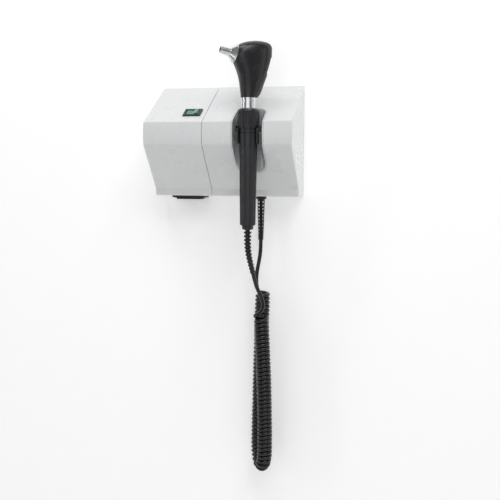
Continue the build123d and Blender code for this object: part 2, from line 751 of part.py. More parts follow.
def gland_nut():
    axis = (BOOT_X, BOOT_Y)
    base = Plane(origin=(*axis, BOTTOM + COVER_WALL))
    nut = base * extrude(RegularPolygon(8.0, 6), 2.8)
    return nut - rod(BOOT_TOP_R + SEAT_GAP, (*axis, BOTTOM), (*axis, BOTTOM + 10))


OUTPUT_TOP = BOTTOM + COVER_WALL + 12


def output_lead():
    """The cord's own end inside the boot and housing, split into its two wires at the terminals."""
    end = BOTTOM - BOOT_LENGTH
    lead = rod(CABLE_R, (BOOT_X, BOOT_Y, end), (BOOT_X, BOOT_Y, OUTPUT_TOP))
    wires = [lead]
    for n in (-1, 1):
        points = [
            (BOOT_X + n * 0.9, BOOT_Y, OUTPUT_TOP - 0.5),
            (BOOT_X + n * 0.9, BOOT_Y, OUTPUT_TOP + 6),
            (TERMINAL_X + n * 4, BOARD_FRONT - 6, TERMINAL_Z - 16),
            (TERMINAL_X + n * 4, BOARD_FRONT - 6, TERMINAL_Z - 0.5),
        ]
        wires.append(bent_tube(points, 0.8, 2.0))
    return wires[0] + wires[1] + wires[2]


def lead_clip():
    """The clamp that takes the cord's pull inside the housing."""
    z = BOTTOM + COVER_WALL + 7.5
    clip = block(BOOT_X - 6.5, BOOT_X + 6.5, BOOT_Y - 4.5, -PLATE_THICK, z, z + 3)
    return clip - rod(CABLE_R + RUN_FIT, (BOOT_X, BOOT_Y, z - 1), (BOOT_X, BOOT_Y, z + 4))


# ---------------------------------------------------------------- handle
HANDLE_PLACE = Pos(HANDLE_X, HANDLE_Y, 0)
COLLAR_LOW = GRIP_TOP + PARTING
SLEEVE_TOP = 22.0
RING_LOW = FORK_TOP + FLANGE_THICK + 0.2
GRIP_BORE = GRIP_R - GRIP_WALL


def grip_radius(z):
    return GRIP_R + (GRIP_END_R - GRIP_R) * (FLUTE_START - z) / (FLUTE_START - GRIP_BOTTOM)


def handle_grip():
    """The grip tube: plain at the top, then tapered with long round-ended flutes."""
    bore = GRIP_END_R - 2.2
    outline = [
        (0, GRIP_BOTTOM),
        (GRIP_END_R, GRIP_BOTTOM),
        (GRIP_R, FLUTE_START),
        (GRIP_R, GRIP_TOP),
        (0, GRIP_TOP),
    ]
    grip = lathe(outline)
    grip -= rod(bore, (0, 0, GRIP_BOTTOM - 1), (0, 0, FLUTE_START))
    grip -= rod(GRIP_BORE, (0, 0, FLUTE_START - 0.1), (0, 0, GRIP_TOP + 1))
    high = GRIP_R + FLUTE_R - FLUTE_DEPTH
    low = grip_radius(GRIP_BOTTOM) + FLUTE_R - FLUTE_DEPTH
    start = (high, 0, FLUTE_START - FLUTE_R)
    flute = rod(FLUTE_R, start, (low, 0, GRIP_BOTTOM - 0.5)) + Pos(*start) * Sphere(FLUTE_R)
    for n in range(FLUTE_COUNT):
        grip -= Rot(0, 0, n * 360 / FLUTE_COUNT + 12) * flute
    return HANDLE_PLACE * grip


def handle_collar():
    """The band under the ring, with the flange that rests on the fork and the ring's bearing."""
    outline = [
        (5.0, COLLAR_LOW - 12),
        (GRIP_BORE - SEAT_GAP, COLLAR_LOW - 12),
        (GRIP_BORE - SEAT_GAP, COLLAR_LOW - 0.3),
        (GRIP_R - 0.5, COLLAR_LOW - 0.3),
        (GRIP_R - 0.1, COLLAR_LOW + 0.1),
        (GRIP_R - 0.1, FORK_TOP),
        (FLANGE_R, FORK_TOP),
        (FLANGE_R, FORK_TOP + FLANGE_THICK),
        (NECK_R, FORK_TOP + FLANGE_THICK),
        (NECK_R, SLEEVE_TOP),
        (5.0, SLEEVE_TOP),
    ]
    return HANDLE_PLACE * lathe(outline)


LUG_ANGLES = (HEAD_TURN, HEAD_TURN + 180)
LUG_Z = NECK_TOP + 5.5
LUG_HIGH = 2.4
NOTCH_ANGLES = (-114, -37, 66, 143)


def bayonet_neck():
    """The bright neck: a plain barrel, notched near its top, and the spigot with its two lugs."""
    outline = [
        (4.65, SLEEVE_TOP),
        (NECK_R, SLEEVE_TOP),
        (NECK_R, NECK_TOP - 0.4),
        (NECK_R - 0.4, NECK_TOP),
        (SPIGOT_R, NECK_TOP),
        (SPIGOT_R, NECK_TOP + SPIGOT_LENGTH - 0.6),
        (SPIGOT_R - 0.6, NECK_TOP + SPIGOT_LENGTH),
        (4.65, NECK_TOP + SPIGOT_LENGTH),
    ]
    neck = lathe(outline)
    for angle in LUG_ANGLES:
        neck += sector(SPIGOT_R - 0.5, SPIGOT_R + LUG_OUT, LUG_Z, LUG_Z + LUG_HIGH,
                       angle - LUG_ANGLE / 2, angle + LUG_ANGLE / 2)
    for angle in NOTCH_ANGLES:
        notch = Pos(NECK_R, 0, NECK_TOP - 4.6) * Box(2.4, 2.4, 2.6)
        neck -= Rot(0, 0, angle) * notch
    return HANDLE_PLACE * neck


CLIP_Z = RING_TOP + 0.2


def ring_clip():
    """The snap ring that keeps the dimmer ring on the neck."""
    return HANDLE_PLACE * sector(NECK_R, NECK_R + 0.9, CLIP_Z, CLIP_Z + 0.7, 110, 440)


TRACK_Z = RING_LOW + 1.0
TRACK_R = 11.0
POCKET_R = 11.4
POCKET_TOP = RING_LOW + 6.0


def rheostat_track():
    """The resistance track round the collar's sleeve."""
    return HANDLE_PLACE * sector(NECK_R, TRACK_R, TRACK_Z, TRACK_Z + 1.6, -10, 300)


def rheostat_ring():
    """The ribbed dimmer ring: it turns on the sleeve and neck, over the track in its pocket."""
    outline = [
        (POCKET_R, RING_LOW),
        (RING_R - 0.4, RING_LOW),
        (RING_R, RING_LOW + 0.4),
        (RING_R, RING_TOP - 2.4),
        (RING_R - 0.8, RING_TOP - 0.7),
        (RING_R - 2.4, RING_TOP),
        (NECK_R + RUN_FIT, RING_TOP),
        (NECK_R + RUN_FIT, POCKET_TOP),
        (POCKET_R, POCKET_TOP),
    ]
    ring = lathe(outline)
    groove_low, groove_high = RING_LOW + 1.8, RING_TOP - 3.6
    for n in range(RING_RIBS):
        groove = rod(0.85, (RING_R + 0.25, 0, groove_low), (RING_R + 0.25, 0, groove_high))
        ring -= Rot(0, 0, n * 360 / RING_RIBS) * groove
    return HANDLE_PLACE * ring


def ring_wiper():
    """The contact that the ring carries over the track."""
    arm = sector(9.4, POCKET_R - 0.05, TRACK_Z + 1.8, POCKET_TOP, 150, 172)
    return HANDLE_PLACE * arm


INSULATOR_LOW = NECK_TOP - 6.0


def contact_insulator():
    z1 = NECK_TOP + SPIGOT_LENGTH - 0.8
    body = rod(4.6, (0, 0, INSULATOR_LOW), (0, 0, z1))
    return HANDLE_PLACE * (body - rod(1.5, (0, 0, INSULATOR_LOW - 1), (0, 0, z1 + 1)))


def contact_pin():
    z0 = INSULATOR_LOW - 2.0
    pin = rod(1.4, (0, 0, z0), (0, 0, NECK_TOP + SPIGOT_LENGTH + 1.6))
    pin = fillet(pin.edges().sort_by(Axis.Z)[-1], 0.9)
    return HANDLE_PLACE * (pin + rod(3.0, (0, 0, z0), (0, 0, INSULATOR_LOW - 0.2)))


SPRING_LOW = SLEEVE_TOP + 2.4


def contact_spring():
    """The coil spring that pushes the contact pin up."""
    wire = 0.35
    height = INSULATOR_LOW - 2.0 - SPRING_LOW - 2 * wire
    path = Helix(pitch=height / 7, height=height, radius=2.4)
    coil = sweep(Plane(origin=path @ 0, z_dir=path % 0) * Circle(wire), path=path)
    return HANDLE_PLACE * Pos(0, 0, SPRING_LOW + wire) * coil


def spring_seat():
    """The insulating disc under the spring, pressed into the neck."""
    return HANDLE_PLACE * rod(4.6, (0, 0, SLEEVE_TOP + 0.3), (0, 0, SPRING_LOW))


CAP_LOW = GRIP_BOTTOM - END_CAP_LENGTH
CAP_PLUG_R = GRIP_END_R - 2.2 - SEAT_GAP
BOOT_ROOT_R = 4.4


def end_cap():
    cap = rod(END_CAP_R, (0, 0, CAP_LOW), (0, 0, GRIP_BOTTOM))
    cap = fillet(cap.edges().group_by(Axis.Z)[0], 1.0)
    cap += rod(CAP_PLUG_R, (0, 0, GRIP_BOTTOM), (0, 0, GRIP_BOTTOM + 9))
    cap += rod(GRIP_END_R - 0.6, (0, 0, GRIP_BOTTOM - 1.0), (0, 0, GRIP_BOTTOM))
    cap -= rod(BOOT_ROOT_R + SEAT_GAP, (0, 0, CAP_LOW - 1), (0, 0, GRIP_BOTTOM + 2))
    return HANDLE_PLACE * (cap - rod(CABLE_R + SEAT_GAP, (0, 0, CAP_LOW), (0, 0, GRIP_BOTTOM + 12)))


# the boot hangs down, then leans towards the wall and the cord
BOOT_SPINE = [
    (HANDLE_X, HANDLE_Y, CAP_LOW + 3.0),
    (HANDLE_X, HANDLE_Y, CAP_LOW - 25.0),
    (HANDLE_X + 4.5, HANDLE_Y + 8.0, CAP_LOW - 51.4),
]
BOOT_RIBS = 12


def handle_boot():
    """The ribbed strain relief at the handle's foot: rings along a bent core."""
    radii = corner_radii(BOOT_SPINE)
    path = FilletPolyline(*BOOT_SPINE, radius=radii)
    boot = bent_tube(BOOT_SPINE, CABLE_R + 0.8, radii)
    boot += HANDLE_PLACE * rod(BOOT_ROOT_R, (0, 0, CAP_LOW - 0.6), (0, 0, GRIP_BOTTOM + 1.6))
    for n in range(BOOT_RIBS):
        share = (n + 1.0) / BOOT_RIBS * 0.93 + 0.045
        radius = 4.75 - 1.6 * share
        place = Plane(origin=path @ share, z_dir=path % share)
        rib = Cylinder(radius, 2.5, align=(Align.CENTER, Align.CENTER, Align.CENTER))
        rib = chamfer(rib.edges(), 0.55)
        boot += place * rib
    boot -= HANDLE_PLACE * rod(CABLE_R + RUN_FIT, (0, 0, CAP_LOW), (0, 0, GRIP_BOTTOM + 4))
    return boot - bent_tube(BOOT_SPINE, CABLE_R + RUN_FIT, radii)


LEAD_TOP = GRIP_BOTTOM + 26


def handle_lead():
    """The cord's end inside the boot and grip, split into two wires that run up to the dimmer."""
    lead = bent_tube(BOOT_SPINE, CABLE_R, corner_radii(BOOT_SPINE))
    lead += HANDLE_PLACE * rod(CABLE_R, (0, 0, CAP_LOW + 2.9), (0, 0, LEAD_TOP))
    for side in (-1, 1):
        lead += HANDLE_PLACE * rod(0.8, (side * 1.0, 0, LEAD_TOP - 1), (side * 1.0, 0, SLEEVE_TOP - 2))
    return lead


def lead_clamp():
    """The crimped ring that stops the cord pulling out of the handle."""
    z = GRIP_BOTTOM + 10
    ring = rod(5.2, (0, 0, z), (0, 0, z + 6)) - rod(CABLE_R + RUN_FIT, (0, 0, z - 1), (0, 0, z + 7))
    return HANDLE_PLACE * ring


# ---------------------------------------------------------------- head, in its own frame
# x runs back from the handle's axis, y across, z up from the head's foot; the nose points to -x
HEAD_PLACE = Pos(HANDLE_X, HANDLE_Y, HEAD_BASE) * Rot(0, 0, HEAD_TURN)
# height, front, back, half width, squareness
HEAD_STATIONS = [
    (0.0, -9.1, 10.8, 9.4, 2.0),
    (4.5, -9.5, 14.0, 9.9, 2.1),
    (16.5, -10.8, 18.4, 11.3, 2.4),
    (26.0, -12.8, 21.8, 12.6, 2.6),
    (36.0, -16.8, 25.0, 13.4, 2.7),
    (47.0, -20.4, 27.0, 13.9, 2.8),
    (53.6, -18.2, 27.4, 13.5, 2.7),
    (58.0, -14.2, 27.0, 12.4, 2.6),
    (61.0, -9.0, 25.2, 10.4, 2.4),
    (63.0, -2.4, 21.6, 7.2, 2.2),
    (64.2, 4.0, 15.0, 3.0, 2.0),
]
SECTION_POINTS = 20
DOME_FRONT = (-14.6, 59.4)
CONE_HEIGHT = 48.7
CONE_BASE = (DOME_FRONT[0] - (DOME_FRONT[1] - CONE_HEIGHT) * tan(radians(NOSE_TILT)), CONE_HEIGHT)
PIVOT_H = 54.0
SEAM_LOW = (13.2, 18.5)     # a point on the seam between shell and lens frame: x, height
SWING_R = 35.6              # the frame's foot is an arc about its pivot


NOSE_PLANE = Plane(
    origin=(CONE_BASE[0], 0, CONE_BASE[1]),
    x_dir=(0, 1, 0),
    z_dir=(-cos(radians(NOSE_TILT)), 0, sin(radians(NOSE_TILT))),
)
CENTRED_LOW = (Align.CENTER, Align.CENTER, Align.MIN)


def head_section(height, front, back, half, square, inset):
    """One level outline: an oval that squares up towards the top."""
    a = (back - front) / 2 - inset
    b = half - inset
    middle = (back + front) / 2
    points = []
    for n in range(SECTION_POINTS):
        angle = 2 * pi * (n + 0.5) / SECTION_POINTS
        c, s = cos(angle), sin(angle)
        x = a * abs(c) ** (2 / square) * (1 if c > 0 else -1)
        y = b * abs(s) ** (2 / square) * (1 if s > 0 else -1)
        points.append((middle + x, y))
    outline = Spline(*points, periodic=True)
    return Pos(0, 0, height) * make_face(outline)


def head_envelope(inset):
    """The head's outer form, or the same form shrunk by inset: a lofted dome, cut flat for the nose."""
    stations = [row for row in HEAD_STATIONS if row[3] > inset + 1]
    body = loft([head_section(*row, inset) for row in stations])
    return body - NOSE_PLANE * Pos(0, 0, -inset) * Box(80, 80, 40, align=CENTRED_LOW)


def seam_plane(out):
    """The plane between shell and lens frame, moved back by out; its z points back."""
    tilt = radians(SEAM_TILT)
    x = SEAM_LOW[0] + (PIVOT_H - SEAM_LOW[1]) * tan(tilt)
    normal = Vector(cos(tilt), 0, -sin(tilt))
    origin = Vector(x, 0, PIVOT_H) + normal * out
    return Plane(origin=origin, x_dir=(0, 1, 0), z_dir=normal)


def behind_seam(out, radius):
    """The round room behind the seam that the swinging frame needs."""
    return seam_plane(out) * Cylinder(radius, 30, align=(Align.CENTER, Align.CENTER, Align.MIN))


PIVOT_R = 1.3
SOCKET_R = 7.9
SOCKET_BORE = SPIGOT_R + RUN_FIT
SOCKET_HIGH = 14.0
NOSE_SLEEVE_R = 9.4
SEAM_GAP_HEAD = 0.2


def head_shell():
    """The black head: a hollow shell with a round nose opening, a seat for the socket, a pin boss."""
    outer = head_envelope(0)
    inner = head_envelope(HEAD_WALL)
    floor_cut = block(-60, 60, -60, 60, -5, SOCKET_HIGH + 3)
    cavity = inner - floor_cut
    sleeve = NOSE_PLANE * Cylinder(NOSE_SLEEVE_R + SEAT_GAP, 30)
    boss_place = seam_plane(0)
    boss = boss_place * Cylinder(3.4, 9, align=(Align.CENTER, Align.CENTER, Align.MAX))
    rib = boss_place * Pos(0, 4, -4.5) * Box(2.4, 10, 9)
    shell = outer - cavity + ((boss + rib) & outer & block(-60, 60, -60, 60, PIVOT_H - 3.4, 80))
    shell -= behind_seam(0, SWING_R + MOVE_GAP)
    shell -= sleeve
    shell -= rod(SOCKET_R + 0.02, (0, 0, -1), (0, 0, SOCKET_HIGH))
    shell -= rod(4.6, (0, 0, 0), (0, 0, SOCKET_HIGH + 8))
    shell -= boss_place * Cylinder(PIVOT_R, 17)
    return HEAD_PLACE * shell


def head_socket():
    """The bright ring in the head's foot, with its two L-shaped bayonet slots."""
    ring = rod(SOCKET_R, (0, 0, 0.2), (0, 0, SOCKET_HIGH)) - rod(SOCKET_BORE, (0, 0, -1), (0, 0, 20))
    slot_low = LUG_Z - HEAD_BASE - 0.2
    slot_high = slot_low + LUG_HIGH + 0.4
    wide = LUG_ANGLE / 2 + 3
    r0, r1 = SOCKET_BORE - 1, SOCKET_R + 1
    for angle in (0, 180):
        entry = angle - TWIST_RANGE
        ring -= sector(r0, r1, slot_low, slot_high, entry - wide, angle + wide)
        ring -= sector(r0, r1, -1, slot_high, entry - wide, entry + wide)
    return HEAD_PLACE * ring


def nose_piece():
    """The bright nose: a sleeve in the shell, a steep cone, and the tube that takes the specula."""
    outline = [
        (7.8, -4.0),
        (NOSE_SLEEVE_R, -4.0),
        (NOSE_SLEEVE_R, 0.0),
        (CONE_R, 0.0),
        (CONE_R, 0.8),
        (TUBE_R + 0.1, CONE_LENGTH),
        (TUBE_R, CONE_LENGTH + 0.6),
        (TIP_R + 0.2, NOSE_LENGTH - 0.3),
        (TIP_R - 0.1, NOSE_LENGTH),
        (BORE_R, NOSE_LENGTH),
        (BORE_R, CONE_LENGTH),
    ]
    nose = lathe(outline)
    for n in range(3):
        notch = Pos(TUBE_R + 0.7, 0, CONE_LENGTH - 1.2) * Box(1.8, 2.0, 2.6)
        nose -= Rot(0, 0, 120 * n + 205) * notch
    return HEAD_PLACE * (NOSE_PLANE * nose)


def pivot_pin():
    """The pin that the lens frame swings on: a shank in the boss and a flat head behind the frame."""
    place = seam_plane(0)
    head_at = SEAM_GAP_HEAD + LENS_FRAME_THICK - 1.2
    pin = Cylinder(PIVOT_R, 8 + head_at + 0.1, align=(Align.CENTER, Align.CENTER, Align.MIN))
    pin = Pos(0, 0, -8) * pin
    pin += Pos(0, 0, head_at) * Cylinder(2.5, 1.0, align=(Align.CENTER, Align.CENTER, Align.MIN))
    pin -= Pos(0, 0, head_at + 1.0) * Box(0.7, 6, 0.8)
    return HEAD_PLACE * (place * pin)


WINDOW_CENTRE = Pos(0, -17.5, 0)
GLASS_SEAT = 2.6
RECESS = RectangleRounded(WINDOW_WIDTH + 2.4, WINDOW_HEIGHT + 2.4, 6)


def lens_frame():
    """The black frame that holds the lens and swings about the pin."""
    envelope = head_envelope(0)
    slab = behind_seam(SEAM_GAP_HEAD, SWING_R) - behind_seam(SEAM_GAP_HEAD + LENS_FRAME_THICK, 80)
    frame = envelope & slab
    place = seam_plane(SEAM_GAP_HEAD)
    window = place * WINDOW_CENTRE * extrude(RectangleRounded(WINDOW_WIDTH, WINDOW_HEIGHT, 5), 20)
    recess = place * WINDOW_CENTRE * extrude(RECESS, GLASS_SEAT)
    frame -= [window, recess]
    frame -= place * Pos(0, 0, -1) * Cylinder(PIVOT_R + RUN_FIT, 20)
    pin_room = Cylinder(2.7, 10, align=(Align.CENTER, Align.CENTER, Align.MIN))
    frame -= place * Pos(0, 0, LENS_FRAME_THICK - 1.25) * pin_room
    return HEAD_PLACE * frame


def lens_glass():
    place = seam_plane(SEAM_GAP_HEAD)
    glass = extrude(RectangleRounded(WINDOW_WIDTH + 2.2, WINDOW_HEIGHT + 2.2, 5.9), GLASS_THICK)
    glass = fillet(glass.edges().group_by(Axis.Z)[-1], 0.5)
    glass = WINDOW_CENTRE * Pos(0, 0, GLASS_SEAT - GLASS_THICK) * glass
    return HEAD_PLACE * (place * glass)


LAMP_LOW = SPIGOT_LENGTH + NECK_TOP - HEAD_BASE + 2.4


def lamp_base():
    """The brass cap of the lamp, in the head's throat."""
    base = rod(3.6, (0, 0, LAMP_LOW), (0, 0, LAMP_LOW + 5))
    return HEAD_PLACE * (base + rod(4.5, (0, 0, LAMP_LOW + 5), (0, 0, LAMP_LOW + 6.2)))


def lamp_bulb():
    z = LAMP_LOW + 6.2
    glass = rod(2.6, (0, 0, z), (0, 0, z + 4.4)) + Pos(0, 0, z + 4.4) * Sphere(2.6)
    return HEAD_PLACE * glass


def lamp_holder():
    """The insulating ring that holds the lamp in the throat."""
    ring = rod(SOCKET_BORE - 0.1, (0, 0, LAMP_LOW + 0.4), (0, 0, SOCKET_HIGH - 0.05))
    return HEAD_PLACE * (ring - rod(3.6, (0, 0, 0), (0, 0, SOCKET_HIGH + 1)))


def light_guide():
    """The fibre bundle from above the lamp to the back of the nose."""
    z = LAMP_LOW + 6.2 + 7.4
    tilt = radians(NOSE_TILT)
    end_x = CONE_BASE[0] + 4.4 * cos(tilt) - 6.2 * sin(tilt)
    end_z = CONE_BASE[1] - 4.4 * sin(tilt) - 6.2 * cos(tilt)
    points = [
        (0, 0, z),
        (-0.6, 0, z + 5.5),
        (end_x + 5.6, 0, end_z - 2.2),
        (end_x, 0, end_z),
    ]
    guide = bent_tube(points, 1.5, 4.0)
    return HEAD_PLACE * guide


# ---------------------------------------------------------------- cord outside
WALL_TAIL = [
    (BOOT_X, BOOT_Y, BOTTOM - BOOT_LENGTH),
    (BOOT_X, BOOT_Y, -132.0),
    (38.9, -15.0, -144.0),
    (36.9, -16.3, -155.5),
    (36.0, -17.8, -166.0),
    (36.9, -19.2, -176.5),
    (38.4, -20.0, -188.0),
]
CURLY_LINE = [
    (44.8, -20.0, -187.0),
    (42.8, -19.8, -262.0),
    (41.2, -20.0, -340.0),
    (40.8, -20.2, -393.4),
    (52.4, -35.4, -393.4),
    (52.6, -35.6, -345.0),
    (50.9, -36.4, -285.0),
    (49.2, -37.4, -245.0),
    (47.4, -38.2, -211.0),
]
HANDLE_TAIL = [
    BOOT_SPINE[-1],
    (HANDLE_X + 7.2, HANDLE_Y + 12.8, CAP_LOW - 67.24),
    (47.6, -49.8, -179.5),
    (50.6, -47.6, -187.5),
    (52.4, -46.8, -195.5),
    (50.6, -46.9, -202.2),
    (45.0, -46.6, -206.2),
    (40.6, -43.4, -208.8),
    (40.8, -38.6, -212.0),
]


def cord_piece(name, points, radius):
    radii = corner_radii(points)
    solid = bent_tube(points, radius, radii)
    report_tube(name, points, radii, solid, radius)
    return solid


# ---------------------------------------------------------------- build
PARTS = {
    "wall_plate": wall_plate(),
    "power_cover": seam_relief(power_cover()),
    "holder_cover": seam_relief(holder_cover()),
    "cover_screws": cover_screws(),
    "cradle_insert": cradle_insert(),
    "cradle_fork": cradle_fork(),
    "cradle_bracket": cradle_bracket(),
    "switch_bezel": switch_bezel(),
    "rocker": rocker(),
    "rocker_pin": rocker_pin(),
    "switch_terminals": switch_terminals(),
    "mains_inlet": mains_inlet(),
    "inlet_pins": inlet_pins(),
    "inlet_screws": inlet_screws(),
    "transformer_core": transformer_core(),
    "transformer_bobbin": transformer_bobbin(),
    "transformer_winding": transformer_winding(),
    "circuit_board": circuit_board(),
    "standoffs": group(transformer_posts() + board_posts()),
    "inside_screws": group(transformer_screws() + board_screws() + fork_screws()),
    "filter_capacitor": filter_capacitor(),
    "heat_sink": heat_sink(),
    "voltage_regulator": voltage_regulator(),
    "bridge_rectifier": bridge_rectifier(),
    "terminal_block": terminal_block(),
    "wire_grommet": wire_grommet(),
    "power_wires": power_wires(),
    "supply_wires": supply_wires(),
    "wall_boot": wall_boot(),
    "gland_nut": gland_nut(),
    "output_lead": output_lead(),
    "lead_clip": lead_clip(),
    "handle_grip": handle_grip(),
    "handle_collar": handle_collar(),
    "bayonet_neck": bayonet_neck(),
    "ring_clip": ring_clip(),
    "rheostat_track": rheostat_track(),
    "rheostat_ring": rheostat_ring(),
    "ring_wiper": ring_wiper(),
    "contact_insulator": contact_insulator(),
    "contact_pin": contact_pin(),
    "contact_spring": contact_spring(),
    "spring_seat": spring_seat(),
    "end_cap": end_cap(),
    "handle_boot": handle_boot(),
    "handle_lead": handle_lead(),
    "lead_clamp": lead_clamp(),
    "head_shell": head_shell(),
    "head_socket": head_socket(),
    "nose_piece": nose_piece(),
    "pivot_pin": pivot_pin(),
    "lens_frame": lens_frame(),
    "lens_glass": lens_glass(),
    "lamp_base": lamp_base(),
    "lamp_bulb": lamp_bulb(),
    "lamp_holder": lamp_holder(),
    "light_guide": light_guide(),
}
PARTS["cord_wall_tail"] = cord_piece("cord_wall_tail", WALL_TAIL, CABLE_R)
PARTS["curly_loop"] = cord_piece("curly_loop", CURLY_LINE, COIL_D / 2)
PARTS["cord_handle_tail"] = cord_piece("cord_handle_tail", HANDLE_TAIL, CABLE_R)

for part_name, shape in PARTS.items():
    save(shape, part_name)
print(len(PARTS), "nodes")
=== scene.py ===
"""Studio scene for the wall-mounted otoscope: its cord, finishes, light and camera."""
from math import atan2, cos, pi, radians, sin, tau

import bpy
from mathutils import Matrix, Vector


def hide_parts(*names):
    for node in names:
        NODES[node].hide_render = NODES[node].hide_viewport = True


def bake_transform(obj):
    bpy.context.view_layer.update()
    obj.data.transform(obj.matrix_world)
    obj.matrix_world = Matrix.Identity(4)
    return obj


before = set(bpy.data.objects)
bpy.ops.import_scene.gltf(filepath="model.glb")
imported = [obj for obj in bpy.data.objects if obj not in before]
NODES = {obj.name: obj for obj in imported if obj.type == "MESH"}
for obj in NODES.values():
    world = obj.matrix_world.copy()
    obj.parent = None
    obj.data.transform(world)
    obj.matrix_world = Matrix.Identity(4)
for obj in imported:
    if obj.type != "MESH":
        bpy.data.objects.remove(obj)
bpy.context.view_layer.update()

# ---------------------------------------------------------------- sizes, in metres
CAMERA_PLACE = (0.301, -1.077, -0.0465)
CAMERA_YAW = radians(14.46)
CAMERA_PITCH = radians(-4.47)
CAMERA_ROLL = radians(0.40)
CAMERA_LENS = 64.8

SHEATH_R = 0.0024               # the cord's own radius
COIL_R = 0.0068                 # from the coil's middle line to the sheath's
COIL_END_R = 0.0064             # the same where a tail joins it
FOLD_R = 0.0062                 # and where it folds at the bottom
FOLD_SHARE = 0.53               # how far along the coil the fold is
COIL_TURNS = 82
POINTS_PER_TURN = 14
END_TURNS = 3                   # turns over which the coil opens out from a tail
FOLD_SPREAD = 0.045             # share of the coil drawn in on each side of the fold
AXIS_STEPS = 40                 # points between two of the coil line's own
SHEATH_STEPS = 3                # points between two of the sheath's own

WALL_TAIL = [
    (0.0404, -0.0140, -0.1195),
    (0.0404, -0.0140, -0.1320),
    (0.0389, -0.0150, -0.1440),
    (0.0369, -0.0163, -0.1555),
    (0.0360, -0.0178, -0.1660),
    (0.0369, -0.0192, -0.1755),
    (0.0384, -0.0200, -0.1850),
]
COIL_LINE = [
    (0.0448, -0.0200, -0.1830),
    (0.0428, -0.0198, -0.2620),
    (0.0412, -0.0200, -0.3400),
    (0.0408, -0.0202, -0.3934),
    (0.0524, -0.0354, -0.3934),
    (0.0526, -0.0356, -0.3450),
    (0.0509, -0.0364, -0.2850),
    (0.0492, -0.0374, -0.2450),
    (0.0474, -0.0382, -0.2110),
]
HANDLE_TAIL = [
    (0.0414, -0.0587, -0.1531),
    (0.0445, -0.0532, -0.17134),
    (0.0476, -0.0498, -0.1795),
    (0.0506, -0.0476, -0.1875),
    (0.0524, -0.0468, -0.1955),
    (0.0506, -0.0469, -0.2022),
    (0.0450, -0.0466, -0.2062),
    (0.0406, -0.0434, -0.2088),
    (0.0408, -0.0386, -0.2120),
]


# ---------------------------------------------------------------- cord
def spline_curve(name, points, steps):
    """A curve of one open NURBS spline with these control points."""
    curve = bpy.data.curves.new(name, "CURVE")
    curve.dimensions = "3D"
    curve.resolution_u = steps
    spline = curve.splines.new("NURBS")
    spline.points.add(len(points) - 1)
    for knot, point in zip(spline.points, points):
        knot.co = (*point, 1)
    spline.order_u = 3
    spline.use_endpoint_u = True
    return curve


def spline_points(points, steps):
    """Points read along that spline."""
    curve = spline_curve("route", points, steps)
    holder = bpy.data.objects.new("route", curve)
    mesh = bpy.data.meshes.new_from_object(holder)
    line = [vertex.co.copy() for vertex in mesh.vertices]
    bpy.data.objects.remove(holder)
    bpy.data.curves.remove(curve)
    bpy.data.meshes.remove(mesh)
    return line


def run_length(line):
    return sum((b - a).length for a, b in zip(line, line[1:]))


def helix(axis_line, first, last):
    """Points that wind round axis_line, from beside first to beside last."""
    total = run_length(axis_line)
    normal = first - axis_line[0]
    walked, frames = 0.0, []
    for n, here in enumerate(axis_line):
        before = axis_line[max(n - 1, 0)]
        after = axis_line[min(n + 1, len(axis_line) - 1)]
        along = (after - before).normalized()
        normal = (normal - along * normal.dot(along)).normalized()
        if n:
            walked += (here - before).length
        frames.append((walked / total, here, normal.copy(), along.cross(normal)))
    end = last - axis_line[-1]
    sweep_end = atan2(end.dot(frames[-1][3]), end.dot(frames[-1][2])) + COIL_TURNS * tau
    steps = COIL_TURNS * POINTS_PER_TURN
    grow = 1 / cos(pi / POINTS_PER_TURN)
    points, place = [], 0
    for n in range(1, steps):
        share = n / steps
        while place < len(frames) - 2 and frames[place + 1][0] < share:
            place += 1
        s0, p0, n0, b0 = frames[place]
        s1, p1, n1, b1 = frames[place + 1]
        mix = (share - s0) / (s1 - s0)
        turn = sweep_end * share
        uneven = 1 + 0.012 * sin(turn * 0.137) + 0.010 * sin(turn * 0.0613 + 1.1)
        opened = min(1.0, share * COIL_TURNS / END_TURNS, (1 - share) * COIL_TURNS / END_TURNS)
        radius = COIL_END_R + (COIL_R - COIL_END_R) * opened
        folded = max(0.0, 1 - abs(share - FOLD_SHARE) / FOLD_SPREAD)
        radius = (radius + (FOLD_R - radius) * folded) * grow * min(1.0, uneven)
        out = n0.lerp(n1, mix) * cos(turn) + b0.lerp(b1, mix) * sin(turn)
        points.append(p0.lerp(p1, mix) + out.normalized() * radius)
    return points


def make_cord():
    axis_line = spline_points(COIL_LINE, AXIS_STEPS)
    last = Vector(HANDLE_TAIL[-1])
    winding = helix(axis_line, Vector(WALL_TAIL[-1]), last)
    route = [Vector(p) for p in WALL_TAIL[:-1]] + winding
    route += [Vector(p) for p in HANDLE_TAIL[-2::-1]]
    line = spline_points(route, SHEATH_STEPS)
    curve = spline_curve("curly_cord", route, SHEATH_STEPS)
    curve.bevel_depth = SHEATH_R
    curve.bevel_resolution = 3
    curve.use_fill_caps = True
    holder = bpy.data.objects.new("holder", curve)
    mesh = bpy.data.meshes.new_from_object(holder)
    mesh.name = "curly_cord"
    cord = bpy.data.objects.new("curly_cord", mesh)
    bpy.context.scene.collection.objects.link(cord)
    bpy.data.objects.remove(holder)
    for face in mesh.polygons:
        face.use_smooth = True
    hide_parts("cord_wall_tail", "curly_loop", "cord_handle_tail")
    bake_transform(cord)
    return cord


